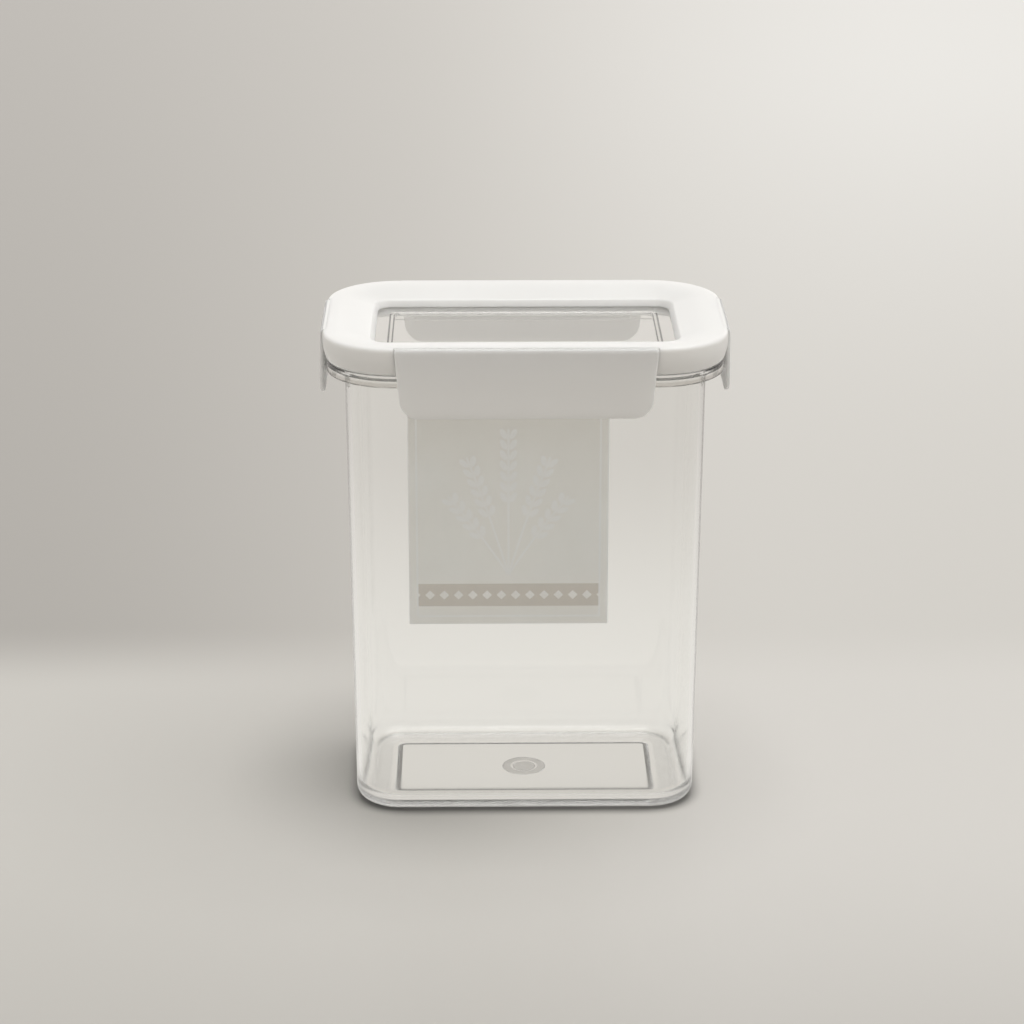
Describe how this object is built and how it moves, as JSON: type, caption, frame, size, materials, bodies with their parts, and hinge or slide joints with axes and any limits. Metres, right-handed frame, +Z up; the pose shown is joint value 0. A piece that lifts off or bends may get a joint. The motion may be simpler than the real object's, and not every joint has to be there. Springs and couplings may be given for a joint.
{
  "type": "food canister",
  "caption": "Tall clear rectangular food canister with a white snap-down lid, a silicone seal, hinged latches on every side and a clear window in the lid.",
  "frame": {"origin": "middle of the base, on the surface that the canister stands on", "axes": "+Z up towards the lid, +X along the long side, -Y towards the long side that faces the camera"},
  "size_m": [0.16, 0.1034, 0.1968],
  "materials": {
    "clear_plastic": "clear, glossy",
    "white_plastic": "satin white",
    "silicone": "matt, translucent white",
    "label_paper": "matt printed paper"
  },
  "bodies": {
    "canister": {"body": "clear_plastic", "label": "label_paper"},
    "lid": {"lid_frame": "white_plastic", "lid_window": "clear_plastic", "gasket": "silicone", "front_hinge_web": "white_plastic", "rear_hinge_web": "white_plastic", "left_hinge_web": "white_plastic", "right_hinge_web": "white_plastic"},
    "front_latch": {"front_latch": "white_plastic"},
    "rear_latch": {"rear_latch": "white_plastic"},
    "left_latch": {"left_latch": "white_plastic"},
    "right_latch": {"right_latch": "white_plastic"}
  },
  "joints": [
    {"name": "lid_lift", "type": "slide", "parent": "canister", "child": "lid", "axis": [0, 0, 1], "range_m": [0, 0.08]},
    {"name": "front_latch_hinge", "type": "hinge", "parent": "lid", "child": "front_latch", "pos_m": [0, -0.04952, 0.19617], "axis": [-1, 0, 0], "range_deg": [0, 110], "deforming": ["front_hinge_web"]},
    {"name": "rear_latch_hinge", "type": "hinge", "parent": "lid", "child": "rear_latch", "pos_m": [0, 0.04952, 0.19617], "axis": [1, 0, 0], "range_deg": [0, 110], "deforming": ["rear_hinge_web"]},
    {"name": "left_latch_hinge", "type": "hinge", "parent": "lid", "child": "left_latch", "pos_m": [-0.07781, 0, 0.19617], "axis": [0, 1, 0], "range_deg": [0, 110], "deforming": ["left_hinge_web"]},
    {"name": "right_latch_hinge", "type": "hinge", "parent": "lid", "child": "right_latch", "pos_m": [0.07781, 0, 0.19617], "axis": [0, -1, 0], "range_deg": [0, 110], "deforming": ["right_hinge_web"]}
  ]
}
